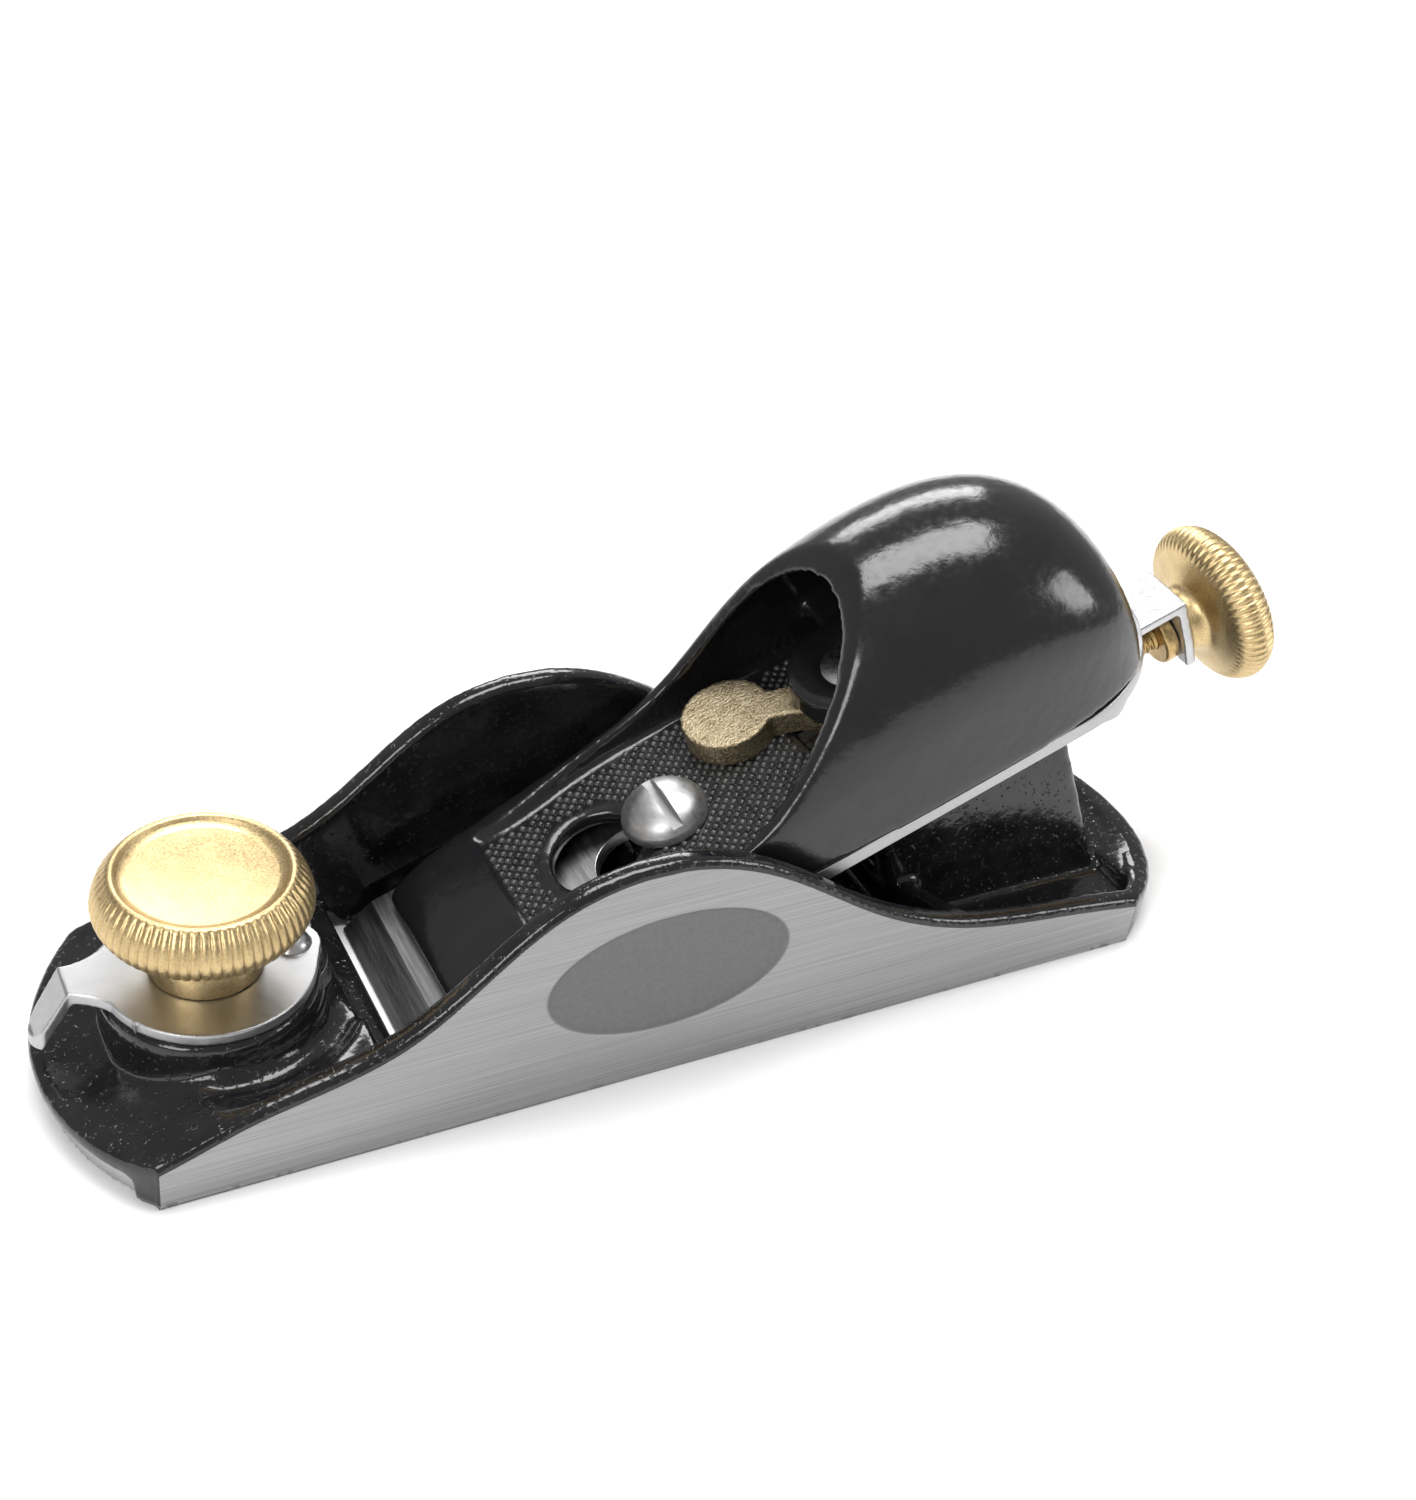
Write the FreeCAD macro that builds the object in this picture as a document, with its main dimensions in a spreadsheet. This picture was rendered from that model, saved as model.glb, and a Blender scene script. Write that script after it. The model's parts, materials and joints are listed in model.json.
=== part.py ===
import FreeCAD, Part
import math
import os
import Sketcher
from FreeCAD import Placement, Rotation, Vector

# A small adjustable bench plane: a ground iron casting, a cutter bedded at a
# low angle, a lever cap with a swinging cam, a screw depth adjuster, a lateral
# lever and a sliding toe plate that sets the mouth.
# Millimetres. +X runs from the toe to the heel, +Z is up, and the origin is
# the middle of the sole. Pieces that lie on the cutter's bed are drawn in the
# bed's own frame: u runs up the bed from the sole, w stands square to it.

SIZES = {
    # casting
    "body_width": 44.5,
    "wall": 3.2,
    "grip_long": 17.0,
    "grip_tall": 9.4,
    "grip_height": 17.6,
    "grip_deep": 0.5,
    "toe_corner": 70.0,
    "toe_bulge": 9.5,
    "heel_corner": 71.5,
    "heel_bulge": 13.0,
    "hump_height": 35.3,
    "hump_place": -5.0,
    "floor_height": 3.4,
    "toe_edge_height": 6.4,
    "deck_height": 12.0,
    "deck_rear": -41.0,
    "mouth_front": -36.5,
    "mouth_half": 18.6,
    "lip_height": 4.9,
    # bed
    "bed_angle": 22.0,
    "bed_foot": -34.8,
    "bed_edge_height": 0.6,
    "bed_gap": 0.02,
    "face_gap": 0.05,
    # throat lever and its seat
    "lever_pivot": -47.1,
    "cam_start": 10.8,
    "cam_rise": 0.06,
    "cam_low": -16.0,
    "cam_high": 34.0,
    "platform_height": 14.8,
    "throat_disc": 13.2,
    "disc_offset": 10.5,
    "throat_sheet": 1.6,
    "throat_slip": 0.325,
    # toe plate and stud
    "plate_width": 37.6,
    "plate_thick": 3.0,
    "plate_rear": -36.7,
    "plate_setback": 1.2,
    "stud_radius": 3.175,
    "stud_top": 26.6,
    "bead_radius": 4.7,
    "bead_height": 1.3,
    # front knob
    "knob_hub": 7.1,
    "knob_head": 13.2,
    "knob_dish": 10.3,
    "knob_neck": 7.0,
    "knob_deep": 7.6,
    "thread_gap": 0.05,
    # cutter
    "cutter_width": 35.0,
    "cutter_length": 117.0,
    "cutter_thick": 2.2,
    "cutter_bevel": 5.2,
    "cutter_back": 0.5,
    "slot_width": 12.4,
    "slot_front": 33.0,
    "slot_rear": 82.5,
    "notch_first": 90.0,
    "notch_pitch": 7.0,
    "notch_long": 8.0,
    "notch_wide": 2.3,
    # cap screw
    "screw_place": 45.0,
    "screw_radius": 3.175,
    "screw_head": 6.0,
    "screw_crown": 4.0,
    "screw_long": 18.0,
    # lever cap, along its own length from the front edge
    "cap_front": 8.0,
    "cap_panel": 5.2,
    "cap_under": 2.4,
    "cap_wall": 2.2,
    "key_slip": 0.625,
    "key_wide": 6.7,
    "key_travel": 10.0,
    "cam_place": 68.0,
    "cam_hole": 9.6,
    "cam_barrel": 6.8,
    "cam_arm": 18.2,
    "cam_paddle": 6.4,
    "cam_swing": 24.0,
    "cam_thick": 4.0,
    "shelf_low": 9.8,
    "shelf_high": 14.2,
    "rivet_shank": 2.4,
    "rivet_head": 5.0,
    "pivot_head": 2.5,
    "pivot_shank": 1.8,
    # lateral lever
    "lateral_sheet": 1.15,
    "lateral_drop": 2.0,
    "lateral_half": 11.0,
    "window_half": 8.5,
    "window_front": 72.0,
    "window_rear": 99.5,
    "lateral_rear": 113.0,
    "eye_outer": 5.5,
    "bush_seat": 4.6,
    "bush_lift": 2.7,
    # depth slide and screw
    "slide_half": 4.7,
    "slide_sheet": 1.5,
    "slide_front": 67.5,
    "slide_rear": 125.5,
    "tooth_half": 2.5,
    "tooth_thick": 1.7,
    "depth_axis": 9.0,
    "rod_radius": 2.0,
    "rod_long": 33.0,
    "neck_radius": 3.0,
    "fork_gap": 0.2,
    "collar_radius": 4.4,
    "collar_thick": 2.0,
    "depth_knob": 12.2,
    "depth_knob_long": 12.6,
    # tower under the cutter
    "tower_half": 6.5,
    "tower_front": 71.5,
    "tower_back": 102.5,
    "channel_half": 4.2,
    "channel_back": 91.5,
}

doc = FreeCAD.newDocument("BenchPlane")
sheet = doc.addObject("Spreadsheet::Sheet", "Sizes")
for row, (alias, value) in enumerate(SIZES.items(), 1):
    sheet.set(f"A{row}", alias)
    sheet.set(f"B{row}", str(value))
    sheet.setAlias(f"B{row}", alias)
doc.recompute()


def size(alias):
    return float(sheet.get(alias))


HALF = size("body_width") / 2
TOE = -size("toe_corner")
HEEL = size("heel_corner")
TOE_TIP = TOE - size("toe_bulge")
HEEL_TIP = HEEL + size("heel_bulge")
BED_RAD = math.radians(size("bed_angle"))
GAP = size("face_gap")
TALL = 80.0
STUD_X = size("lever_pivot") - size("cam_start")
DISC_X = size("lever_pivot") - size("disc_offset")
BED = Placement(Vector(size("bed_foot"), 0, 0), Rotation(Vector(0, 1, 0), -size("bed_angle")))
FORK_FRONT = size("slide_rear") - size("slide_sheet")
TOWER_TOP = -size("lateral_sheet") - size("slide_sheet") - 3 * GAP
bodies = []


# ---------------------------------------------------------------- helpers
def bed_point(u, w=0.0):
    """The (x, z) of a point given along and square to the bed."""
    spot = BED.multVec(Vector(u, 0, w))
    return spot.x, spot.z


def on_bed(u=0.0, w=0.0, turn=Rotation()):
    return BED.multiply(Placement(Vector(u, 0, w), turn))


def depth_screw_place(u):
    """On the depth screw's axis, turned so that a piece's own Z runs up the bed."""
    return on_bed(u, -size("depth_axis"), Rotation(Vector(0, 1, 0), 90))


def new_body(label, place=None):
    body = doc.addObject("PartDesign::Body", label)
    body.Label = label
    if place is not None:
        body.Placement = place
    bodies.append(body)
    return body


def new_sketch(body, plane, name, offset=None):
    sketch = body.newObject("Sketcher::SketchObject", name)
    origin = next(f for f in body.Origin.OriginFeatures if f.Role == plane)
    sketch.AttachmentSupport = [(origin, "")]
    sketch.MapMode = "FlatFace"
    if offset is not None:
        sketch.AttachmentOffset = offset
    return sketch


def lift(height):
    return Placement(Vector(0, 0, height), Rotation())


def trace(sketch, start, *steps):
    """A closed outline. A step is a point for a line, or (middle, end) for an arc."""
    here = Vector(start[0], start[1], 0)
    for step in list(steps) + [start]:
        if isinstance(step[0], tuple):
            middle, end = (Vector(p[0], p[1], 0) for p in step)
            sketch.addGeometry(Part.Arc(here, middle, end))
        else:
            end = Vector(step[0], step[1], 0)
            if end.distanceToPoint(here) > 1e-6:
                sketch.addGeometry(Part.LineSegment(here, end))
        here = end
    return sketch


def box(sketch, x_low, y_low, x_high, y_high):
    return trace(sketch, (x_low, y_low), (x_high, y_low), (x_high, y_high), (x_low, y_high))


def circle(sketch, alias, x=0.0, y=0.0, extra=None):
    """A circle whose radius follows a cell of the sheet, plus a named clearance."""
    radius = size(alias) + (size(extra) if extra else 0)
    index = sketch.addGeometry(Part.Circle(Vector(x, y, 0), Vector(0, 0, 1), radius))
    number = sketch.addConstraint(Sketcher.Constraint("Radius", index, radius))
    tail = f" + Sizes.{extra}" if extra else ""
    sketch.setExpression(f"Constraints[{number}]", f"Sizes.{alias}{tail}")
    return sketch


def crown(radius, edge, top):
    """A domed or dished end from (radius, edge) to the axis at top, as (middle, end)."""
    centre = (top ** 2 - edge ** 2 - radius ** 2) / (2 * (top - edge))
    ball = abs(top - centre)
    angle = math.asin(radius / ball) / 2
    rise = 1 if top > centre else -1
    return (ball * math.sin(angle), centre + rise * ball * math.cos(angle)), (0, top)


def slot(sketch, x_low, x_high, radius, y=0.0):
    """A slot with round ends, centres at x_low and x_high."""
    return trace(
        sketch,
        (x_low, y - radius),
        (x_high, y - radius),
        ((x_high + radius, y), (x_high, y + radius)),
        (x_low, y + radius),
        ((x_low - radius, y), (x_low, y - radius)),
    )


def pad(body, sketch, name, length=None, alias=None, both=False, back=False):
    feature = body.newObject("PartDesign::Pad", name)
    feature.Profile = sketch
    feature.Midplane = both
    feature.Reversed = back
    feature.Length = size(alias) if alias else length
    if alias:
        feature.setExpression("Length", f"Sizes.{alias}")
    body.Tip = feature
    return feature


def pocket(body, sketch, name, length, both=False, back=False):
    feature = body.newObject("PartDesign::Pocket", name)
    feature.Profile = sketch
    feature.Midplane = both
    feature.Reversed = back
    feature.Length = length
    body.Tip = feature
    return feature


def turn(body, sketch, name, axis="V_Axis", cut=False):
    kind = "PartDesign::Groove" if cut else "PartDesign::Revolution"
    feature = body.newObject(kind, name)
    feature.Profile = sketch
    feature.ReferenceAxis = (sketch, [axis])
    feature.Angle = 360
    body.Tip = feature
    return feature


def loft(body, sketches, name, cut=False, ruled=False):
    kind = "PartDesign::SubtractiveLoft" if cut else "PartDesign::AdditiveLoft"
    feature = body.newObject(kind, name)
    feature.Profile = sketches[0]
    feature.Sections = sketches[1:]
    feature.Ruled = ruled
    body.Tip = feature
    return feature


# ---------------------------------------------------------------- base casting
def rim_curve():
    """The top line of the side walls, seen from the side."""
    top = size("hump_height")
    peak = size("hump_place")
    edge = size("toe_edge_height")
    toe_rise = [(TOE_TIP - 3, edge - 0.6), (TOE, edge + 0.6), (TOE + 11, edge + 4.8), (TOE + 21, edge + 7.4)]
    hump = [(-35, -18.2), (-26, -11.4), (-15, -2.9), (0, 0), (14, -4.7), (30.5, -15.7), (46.5, -22.7)]
    heel = [(HEEL - 11, edge + 3.2), (HEEL + 3, edge + 1.0), (HEEL_TIP + 3, edge - 1.4)]
    places = toe_rise + [(peak + x, top + z) for x, z in hump] + heel
    curve = Part.BSplineCurve()
    curve.interpolate([Vector(x, z, 0) for x, z in places])
    return curve


def base_casting():
    body = new_body("base_casting")
    inner = HALF - size("wall")
    floor = size("floor_height")
    deck = size("deck_height")

    outline = new_sketch(body, "XY_Plane", "CastingOutline")
    trace(outline, (TOE, -HALF), (HEEL, -HALF), ((HEEL_TIP, 0), (HEEL, HALF)), (TOE, HALF),
          ((TOE_TIP, 0), (TOE, -HALF)))
    pad(body, outline, "CastingBlock", alias="hump_height")

    rim = new_sketch(body, "XZ_Plane", "RimLine")
    curve = rim_curve()
    first, last = curve.StartPoint, curve.EndPoint
    rim.addGeometry(curve)
    for a, b in [(last, Vector(last.x, TALL, 0)), (Vector(last.x, TALL, 0), Vector(first.x, TALL, 0)),
                 (Vector(first.x, TALL, 0), first)]:
        rim.addGeometry(Part.LineSegment(a, b))
    pocket(body, rim, "RimCut", 2 * HALF + 20, both=True)

    trough = new_sketch(body, "XY_Plane", "TroughOutline", lift(TALL))
    heel_wall = size("wall") + 1.0
    trace(trough, (size("mouth_front"), -inner), (HEEL, -inner), ((HEEL_TIP - heel_wall, 0), (HEEL, inner)),
          (size("mouth_front"), inner))
    pocket(body, trough, "Trough", TALL - floor)

    lip = new_sketch(body, "XY_Plane", "LipOutline", lift(TALL))
    box(lip, size("deck_rear"), -inner, size("mouth_front") + 0.5, inner)
    pocket(body, lip, "Lip", TALL - size("lip_height"))

    deck_cut = new_sketch(body, "XY_Plane", "DeckOutline", lift(TALL))
    box(deck_cut, TOE + 12, -inner, size("deck_rear") + 0.5, inner)
    pocket(body, deck_cut, "Deck", TALL - deck)

    disc_x = DISC_X
    moat = new_sketch(body, "XZ_Plane", "MoatSection")
    moat.addGeometry(Part.Circle(Vector(disc_x - 16.6, deck + 0.6, 0), Vector(0, 0, 1), 3.0))
    moat.addGeometry(Part.LineSegment(Vector(disc_x, 0, 0), Vector(disc_x, 30, 0)), True)
    turn(body, moat, "Moat", axis="Axis0", cut=True)

    for name, x, radius in [("PlatformDisc", disc_x, size("throat_disc") + 0.4),
                            ("PlatformLobe", size("lever_pivot"), 4.6)]:
        seat = new_sketch(body, "XY_Plane", name + "Outline", lift(size("lip_height") + 3))
        seat.addGeometry(Part.Circle(Vector(x, 0, 0), Vector(0, 0, 1), radius))
        pad(body, seat, name, size("platform_height") - size("lip_height") - 3)

    # Boss and ribs in the trough, all kept under the lateral lever.
    boss_w = -size("lateral_drop") - size("lateral_sheet") - 2 * GAP
    boss_x, boss_z = bed_point(size("screw_place"), boss_w)
    boss = new_sketch(body, "XY_Plane", "BossOutline", lift(floor / 2))
    boss.addGeometry(Part.Circle(Vector(boss_x + 1.2, 0, 0), Vector(0, 0, 1), 8.4))
    pad(body, boss, "Boss", boss_z + 6 - floor / 2)
    boss_top = new_sketch(body, "XY_Plane", "BossTop", on_bed(size("screw_place"), boss_w))
    box(boss_top, -14, -9.5, 14, 9.5)
    pocket(body, boss_top, "BossFace", 12, back=True)

    for name, x, wall_z, mid_z in [("BossRib", boss_x - 5.5, 14.0, 10.0), ("TowerRib", boss_x + 30.0, 13.0, 9.0)]:
        rib = new_sketch(body, "YZ_Plane", name + "Outline", lift(x))
        trace(rib, (-inner - 0.5, floor / 2), (inner + 0.5, floor / 2), (inner + 0.5, wall_z), (7.5, mid_z),
              (-7.5, mid_z), (-inner - 0.5, wall_z))
        pad(body, rib, name, 3.2)

    ledge = new_sketch(body, "XY_Plane", "LedgeOutline", lift(floor / 2))
    for side in (-1, 1):
        low, high = sorted((side * (inner - 2.6), side * (inner + 0.5)))
        box(ledge, -8, low, HEEL - 2, high)
    pad(body, ledge, "Ledges", 4.2)
    heel_deck = new_sketch(body, "XY_Plane", "HeelDeckOutline", lift(floor / 2))
    trace(heel_deck, (HEEL + 3, -inner), ((HEEL_TIP - heel_wall + 0.5, 0), (HEEL + 3, inner)))
    pad(body, heel_deck, "HeelDeck", 3.9)

    # Tower that carries the rear of the cutter, with its adjuster channel.
    foot = new_sketch(body, "XY_Plane", "TowerFoot", lift(floor / 2))
    foot_front = bed_point(size("tower_front"), TOWER_TOP)[0] + 6.5
    foot_back = bed_point(size("tower_back"), TOWER_TOP)[0] + 13.5
    half = size("tower_half")
    box(foot, foot_front, -half - 3.2, foot_back, half + 3.2)
    head = new_sketch(body, "XY_Plane", "TowerHead", on_bed(0, TOWER_TOP))
    box(head, size("tower_front"), -half, size("tower_back"), half)
    loft(body, [foot, head], "Tower", ruled=True)

    channel = new_sketch(body, "XY_Plane", "ChannelOutline", on_bed(0, TOWER_TOP + 1))
    half = size("channel_half")
    box(channel, size("tower_front") - 6, -half, size("channel_back"), half)
    pocket(body, channel, "Channel", 17.5)
    track = new_sketch(body, "XY_Plane", "TrackOutline", on_bed(0, TOWER_TOP + 1))
    slot(track, size("channel_back") - 2, size("tower_back") - 6.3, size("channel_half") - 0.3)
    pocket(body, track, "Track", 1.8)
    rod_hole = new_sketch(body, "XY_Plane", "RodHole", depth_screw_place(size("channel_back") - 3))
    circle(rod_hole, "rod_radius", extra="thread_gap")
    pocket(body, rod_hole, "RodBore", size("tower_back") - size("channel_back") + 15, back=True)

    # Holes and machined faces.
    tapped = new_sketch(body, "XY_Plane", "TappedHole", on_bed(size("screw_place"), boss_w + 1))
    circle(tapped, "screw_radius", extra="thread_gap")
    pocket(body, tapped, "CapScrewHole", 10.2)

    mouth = new_sketch(body, "XY_Plane", "MouthOutline")
    edge_x = bed_point(size("bed_edge_height") / math.sin(BED_RAD), -size("bed_gap"))[0]
    box(mouth, size("mouth_front"), -size("mouth_half"), edge_x, size("mouth_half"))
    pocket(body, mouth, "Mouth", size("lip_height") + 0.2, back=True)
    ramp = new_sketch(body, "XZ_Plane", "RampLine")
    ramp_low = bed_point(0.5 * size("bed_edge_height") / math.sin(BED_RAD), -size("bed_gap"))
    ramp_top = bed_point((floor + 1.2) / math.sin(BED_RAD), -size("bed_gap"))
    trace(ramp, ramp_low, ramp_top, (ramp_low[0], ramp_top[1]))
    pocket(body, ramp, "Ramp", 2 * size("mouth_half"), both=True)

    recess = new_sketch(body, "XY_Plane", "ToeRecess")
    half = size("plate_width") / 2 + 0.25
    box(recess, TOE_TIP - 5, -half, size("mouth_front") + 0.01, half)
    pocket(body, recess, "ToeRecessCut", size("plate_thick") + GAP, back=True)

    rise = size("cam_rise")
    slot_low = STUD_X - rise * size("cam_high") - 0.3
    slot_high = STUD_X - rise * size("cam_low") + 0.3
    stud_slot = new_sketch(body, "XY_Plane", "StudSlot")
    slot(stud_slot, slot_low, slot_high, size("stud_radius") + size("throat_slip"))
    pocket(body, stud_slot, "StudSlotCut", TALL, back=True)
    relief = new_sketch(body, "XY_Plane", "BeadRelief")
    slot(relief, slot_low, slot_high, size("bead_radius") + 0.4)
    pocket(body, relief, "BeadReliefCut", size("plate_thick") + size("bead_height") + 0.5, back=True)
    pin = new_sketch(body, "XY_Plane", "RivetHole")
    circle(pin, "pivot_shank", x=size("lever_pivot"))
    pocket(body, pin, "RivetHoleCut", TALL, back=True)

    for name, side in [("NearGrip", 1), ("FarGrip", -1)]:
        grip = new_sketch(body, "XZ_Plane", name + "Outline", lift(side * (HALF + 1)))
        middle = Vector(size("hump_place"), size("grip_height"), 0)
        grip.addGeometry(Part.Ellipse(middle, size("grip_long"), size("grip_tall")))
        pocket(body, grip, name, size("grip_deep") + 1, back=side < 0)
    return body


# ---------------------------------------------------------------- toe group
def toe_plate():
    body = new_body("toe_plate")
    half = size("plate_width") / 2
    back = size("plate_rear")
    radius = ((HALF ** 2) + size("toe_bulge") ** 2) / (2 * size("toe_bulge"))
    centre = TOE_TIP + radius
    corner = centre - math.sqrt(radius ** 2 - half ** 2) + size("plate_setback")
    bend = 2.2
    inset = bend * (1 - math.sqrt(0.5))
    outline = new_sketch(body, "XY_Plane", "PlateOutline")
    trace(outline, (corner, -half), (back - bend, -half),
          ((back - inset, -half + inset), (back, -half + bend)), (back, half - bend),
          ((back - inset, half - inset), (back - bend, half)), (corner, half),
          ((TOE_TIP + size("plate_setback"), 0), (corner, -half)))
    pad(body, outline, "Plate", alias="plate_thick")
    return body


def toe_stud():
    body = new_body("toe_stud", Placement(Vector(STUD_X, 0, size("plate_thick")), Rotation()))
    outline = new_sketch(body, "XY_Plane", "StudCircle")
    circle(outline, "stud_radius")
    stud = pad(body, outline, "Stud", size("stud_top") - size("plate_thick"))
    stud.setExpression("Length", "Sizes.stud_top - Sizes.plate_thick")
    doc.recompute()
    tip = body.newObject("PartDesign::Chamfer", "StudTip")
    tip.Base = (stud, [top_edge(stud.Shape)])
    tip.Size = 0.6
    body.Tip = tip
    return body


def top_edge(shape):
    """The name of the highest circular edge of a shape."""
    best = max(range(len(shape.Edges)), key=lambda i: shape.Edges[i].BoundBox.ZMin)
    return f"Edge{best + 1}"


def toe_stud_weld():
    body = new_body("toe_stud_weld", Placement(Vector(STUD_X, 0, size("plate_thick")), Rotation()))
    section = new_sketch(body, "XZ_Plane", "BeadSection")
    low, high = size("stud_radius"), size("bead_radius")
    tall = size("bead_height")
    trace(section, (low, 0), (high, 0), ((low + 0.78 * (high - low), 0.72 * tall), (low, tall)))
    turn(body, section, "Bead")
    return body


def cam_point(swing, side):
    """A point of the throat lever's cam slot; side shifts it across the slot."""
    reach = size("cam_start") + size("cam_rise") * swing
    angle = math.radians(180 - swing)
    slope = -size("cam_rise") * 180 / math.pi
    out = Vector(math.cos(angle), math.sin(angle), 0)
    along = Vector(-math.sin(angle), math.cos(angle), 0) * reach + out * slope
    across = Vector(along.y, -along.x, 0).normalize()
    spot = out * reach + across * side
    return Vector(size("lever_pivot") + spot.x, spot.y, 0)


def cam_slot(sketch):
    """A slot whose middle line is a spiral, so the stud moves evenly with the swing."""
    low, high = size("cam_low") - 2.0, size("cam_high") + 2.0
    half = size("stud_radius") + size("throat_slip")
    stops = [low + (high - low) * i / 6 for i in range(7)]
    for side in (-half, half):
        curve = Part.BSplineCurve()
        curve.interpolate([cam_point(a, side) for a in stops])
        sketch.addGeometry(curve)
    for swing, sense in [(low, -1), (high, 1)]:
        a, b = cam_point(swing, -half), cam_point(swing, half)
        step = cam_point(swing + sense * 0.5, 0) - cam_point(swing, 0)
        tip = cam_point(swing, 0) + step.normalize() * half
        sketch.addGeometry(Part.Arc(a, tip, b))


def throat_lever():
    body = new_body("throat_lever", Placement(Vector(0, 0, size("platform_height") + GAP), Rotation()))
    pivot = size("lever_pivot")
    disc_x = DISC_X
    radius = size("throat_disc")
    outline = new_sketch(body, "XY_Plane", "LeverDisc")
    circle(outline, "throat_disc", x=disc_x)
    pad(body, outline, "Disc", alias="throat_sheet")
    lobe = new_sketch(body, "XY_Plane", "LeverLobe")
    tip = 3.6
    lean = math.acos((radius - tip) / (pivot - disc_x))
    high = (disc_x + radius * math.cos(lean), radius * math.sin(lean))
    far = (pivot + tip * math.cos(lean), tip * math.sin(lean))
    trace(lobe, (high[0], -high[1]), (far[0], -far[1]), ((pivot + tip, 0), far), high)
    pad(body, lobe, "Lobe", alias="throat_sheet")
    tail = new_sketch(body, "XY_Plane", "LeverTail", lift(-7.5))
    trace(tail, (disc_x - 9.5, 10.0), ((disc_x - 13.2, 5.6), (disc_x - 17, 5.0)), (TOE_TIP + 2.2, 4.3),
          ((TOE_TIP + 0.2, 1.9), (TOE_TIP + 1.6, -0.6)), (disc_x - 17, -0.4), ((disc_x - 13, -3.2), (disc_x - 11, -8)))
    pad(body, tail, "Tail", 7.5 + size("throat_sheet"))
    bend = new_sketch(body, "XZ_Plane", "TailUnder")
    drop = 6.2
    start = disc_x - 16.4
    low = [(disc_x, 0.0), (start, 0.0), (TOE_TIP + 1.6, -drop), (TOE_TIP - 3, -drop - 1), (TOE_TIP - 3, -9),
           (disc_x, -9)]
    trace(bend, *low)
    pocket(body, bend, "TailUnderCut", 60, both=True)
    over = new_sketch(body, "XZ_Plane", "TailOver")
    thick = size("throat_sheet")
    trace(over, (start - 0.7, thick), (TOE_TIP + 0.6, thick - drop), (TOE_TIP - 3, thick - drop - 1),
          (TOE_TIP - 3, 4), (start - 0.7, 4))
    pocket(body, over, "TailOverCut", 60, both=True)
    hole = new_sketch(body, "XY_Plane", "LeverHoles")
    circle(hole, "pivot_shank", x=pivot, extra="thread_gap")
    cam_slot(hole)
    pocket(body, hole, "LeverHolesCut", size("throat_sheet") * 2, back=True)
    return body


def throat_rivet():
    low = size("plate_thick") + 0.4
    seat = size("platform_height") + size("throat_sheet") + 2 * GAP
    body = new_body("throat_rivet", Placement(Vector(size("lever_pivot"), 0, low), Rotation()))
    section = new_sketch(body, "XZ_Plane", "RivetSection")
    shank, head, tall = size("pivot_shank"), size("pivot_head"), 1.5
    trace(section, (0, 0), (shank, 0), (shank, seat - low), (head, seat - low),
          crown(head, seat - low, seat - low + tall))
    turn(body, section, "Rivet")
    return body


def front_knob():
    low = size("platform_height") + size("throat_sheet") + 3 * GAP
    body = new_body("front_knob", Placement(Vector(STUD_X, 0, low), Rotation()))
    hub, head = size("knob_hub"), size("knob_head")
    neck, deep = size("knob_neck"), size("knob_deep")
    bore = size("stud_radius") + size("thread_gap")
    bore_top = size("stud_top") - low + 0.6
    section = new_sketch(body, "XZ_Plane", "KnobSection")
    dish = size("knob_dish")
    trace(section, (bore, 0), (hub, 0), (hub - 0.3, neck - 2.0), ((hub + 0.5, neck - 0.6), (hub + 2.2, neck)),
          (head - 2.4, neck), ((head, neck + 0.42 * deep), (dish + 1.6, neck + 0.94 * deep)),
          ((dish + 0.8, neck + deep), (dish, neck + 0.94 * deep)),
          crown(dish, neck + 0.94 * deep, neck + 0.80 * deep), (0, bore_top), (bore, bore_top))
    turn(body, section, "Knob")
    return body


# ---------------------------------------------------------------- cutter group
def cutter():
    body = new_body("cutter", on_bed(size("cutter_back"), 0))
    half, long = size("cutter_width") / 2, size("cutter_length")
    thick = size("cutter_thick")
    outline = new_sketch(body, "XY_Plane", "CutterOutline")
    trace(outline, (0, -half), (long - half, -half), ((long, 0), (long - half, half)), (0, half))
    pad(body, outline, "Blade", alias="cutter_thick")
    bevel = new_sketch(body, "XZ_Plane", "BevelLine")
    trace(bevel, (-1, 0.12), (0, 0.12), (size("cutter_bevel"), thick), (size("cutter_bevel"), thick + 1),
          (-1, thick + 1))
    pocket(body, bevel, "Bevel", 2 * half + 4, both=True)
    window = new_sketch(body, "XY_Plane", "CutterSlot")
    wide = size("slot_width") / 2
    front, rear = size("slot_front") + wide, size("slot_rear")
    trace(window, (front, -wide), (rear, -wide), (rear, wide), (front, wide),
          ((front - wide, 0), (front, -wide)))
    pocket(body, window, "LongSlot", thick * 2, back=True)
    notch = new_sketch(body, "XY_Plane", "Notch")
    reach = size("notch_long") / 2
    narrow = size("notch_wide") / 2
    place = size("notch_first")
    trace(notch, (place - narrow, -reach + narrow), ((place, -reach), (place + narrow, -reach + narrow)),
          (place + narrow, reach - narrow), ((place, reach), (place - narrow, reach - narrow)))
    cut = pocket(body, notch, "FirstNotch", thick * 2, back=True)
    row = body.newObject("PartDesign::LinearPattern", "Notches")
    row.Originals = [cut]
    row.Direction = (notch, ["H_Axis"])
    row.Occurrences = 3
    row.Length = 2 * size("notch_pitch")
    row.setExpression("Length", "2 * Sizes.notch_pitch")
    body.Tip = row
    return body


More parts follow.
